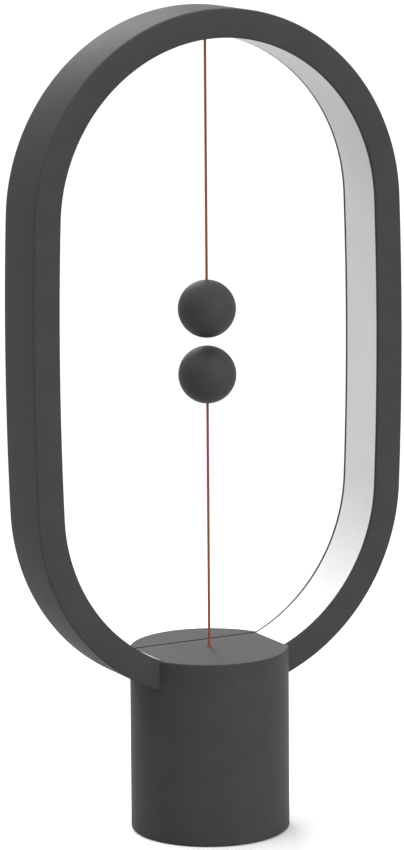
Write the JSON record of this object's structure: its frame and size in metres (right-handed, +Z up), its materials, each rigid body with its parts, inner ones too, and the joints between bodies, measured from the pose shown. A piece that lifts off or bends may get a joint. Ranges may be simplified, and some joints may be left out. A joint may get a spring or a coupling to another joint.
{
  "type": "magnetic balance lamp",
  "caption": "Table lamp with an upright oval light ring on a round base; magnetic balls on strings meet across a small gap of air to switch it on.",
  "frame": {"origin": "on the table, under the middle of the round base", "axes": "+Z up; the ring stands in the X-Z plane; -Y is the front and +Y is the rear, where the supply socket is"},
  "size_m": [0.1992, 0.0772, 0.4],
  "materials": {
    "charcoal_plastic": "fine matte grain",
    "frosted_diffuser": "frosted",
    "red_string": "braided yarn",
    "steel": "zinc plated",
    "ballast_iron": "as cast",
    "foot_rubber": "matte",
    "circuit_board": "solder resist",
    "black_plastic": "satin",
    "white_plastic": "moulded",
    "red_plastic": "satin",
    "light_chip": "white case with a phosphor window",
    "nickel": "nickel plated"
  },
  "bodies": {
    "lamp": {"ring_frame": "charcoal_plastic", "ring_rear_cover": "charcoal_plastic", "diffuser": "frosted_diffuser", "light_strip": "circuit_board", "light_chips": "light_chip", "ring_screws": "steel", "ring_cover_screws": "steel", "string_anchor": "steel", "anchor_knot": "red_string", "upper_string_stub": "red_string", "base_shell": "charcoal_plastic", "base_rear_cover": "charcoal_plastic", "base_bush": "white_plastic", "bottom_plate": "charcoal_plastic", "plate_screws": "steel", "foot_ring": "foot_rubber", "ballast": "ballast_iron", "ballast_washer": "steel", "ballast_screw": "steel", "main_board": "circuit_board", "board_screws": "steel", "board_parts": "black_plastic", "socket_shell": "steel", "socket_insert": "black_plastic", "lead_header": "white_plastic", "lead_positive": "red_plastic", "lead_negative": "black_plastic", "slider_guide": "white_plastic", "guide_screws": "steel", "guide_cap": "white_plastic", "return_spring": "steel", "switch_case": "black_plastic", "switch_pin": "steel"},
    "upper_bend": {"upper_string_bend": "red_string"},
    "upper_line": {"upper_string": "red_string", "upper_string_stopper": "red_string"},
    "upper_ball": {"upper_ball_cap": "charcoal_plastic", "upper_ball_cup": "charcoal_plastic", "upper_magnet": "nickel", "upper_magnet_retainer": "white_plastic"},
    "slider": {"switch_slider": "white_plastic", "slider_knot": "red_string", "lower_string_run": "red_string"},
    "lower_bend": {"lower_string_bend": "red_string"},
    "lower_line": {"lower_string": "red_string", "lower_string_stopper": "red_string"},
    "lower_ball": {"lower_ball_cap": "charcoal_plastic", "lower_ball_cup": "charcoal_plastic", "lower_magnet": "nickel", "lower_magnet_retainer": "white_plastic"},
    "lever": {"switch_lever": "steel"},
    "plunger": {"switch_plunger": "white_plastic"}
  },
  "joints": [
    {"name": "upper_swing_to_front", "type": "hinge", "parent": "lamp", "child": "upper_bend", "pos_m": [0, 0, 0.38515], "axis": [1, 0, 0], "range_deg": [-80, 80]},
    {"name": "upper_swing_to_side", "type": "hinge", "parent": "upper_bend", "child": "upper_line", "pos_m": [0, 0, 0.38515], "axis": [0, 1, 0], "range_deg": [-30, 30]},
    {"name": "upper_ball_spin", "type": "hinge", "parent": "upper_line", "child": "upper_ball", "pos_m": [0, 0, 0.25575], "axis": [0, 0, 1], "continuous": true},
    {"name": "slider_travel", "type": "slide", "parent": "lamp", "child": "slider", "axis": [0, 0, 1], "range_m": [-0.003, 0], "stiffness_N_per_m": 200, "springref_m": 0.004, "deforming": ["return_spring"]},
    {"name": "lower_swing_to_front", "type": "hinge", "parent": "slider", "child": "lower_bend", "pos_m": [0, 0, 0.09395], "axis": [1, 0, 0], "range_deg": [-80, 80], "stiffness_Nm_per_rad": 0.1},
    {"name": "lower_swing_to_side", "type": "hinge", "parent": "lower_bend", "child": "lower_line", "pos_m": [0, 0, 0.09395], "axis": [0, 1, 0], "range_deg": [-30, 30], "stiffness_Nm_per_rad": 0.1},
    {"name": "lower_ball_spin", "type": "hinge", "parent": "lower_line", "child": "lower_ball", "pos_m": [0, 0, 0.22385], "axis": [0, 0, 1], "continuous": true},
    {"name": "lever_turn", "type": "hinge", "parent": "lamp", "child": "lever", "pos_m": [0.0224, 0, 0.0238], "axis": [0, 1, 0], "range_deg": [-12.7, 0]},
    {"name": "plunger_travel", "type": "slide", "parent": "lamp", "child": "plunger", "axis": [0, 0, 1], "range_m": [-0.00055, 0]}
  ],
  "couplings": [
    {"joint": "lever_turn", "follows": "slider_travel", "rad_per_m": 72.92},
    {"joint": "plunger_travel", "follows": "slider_travel", "ratio": 0.18}
  ]
}
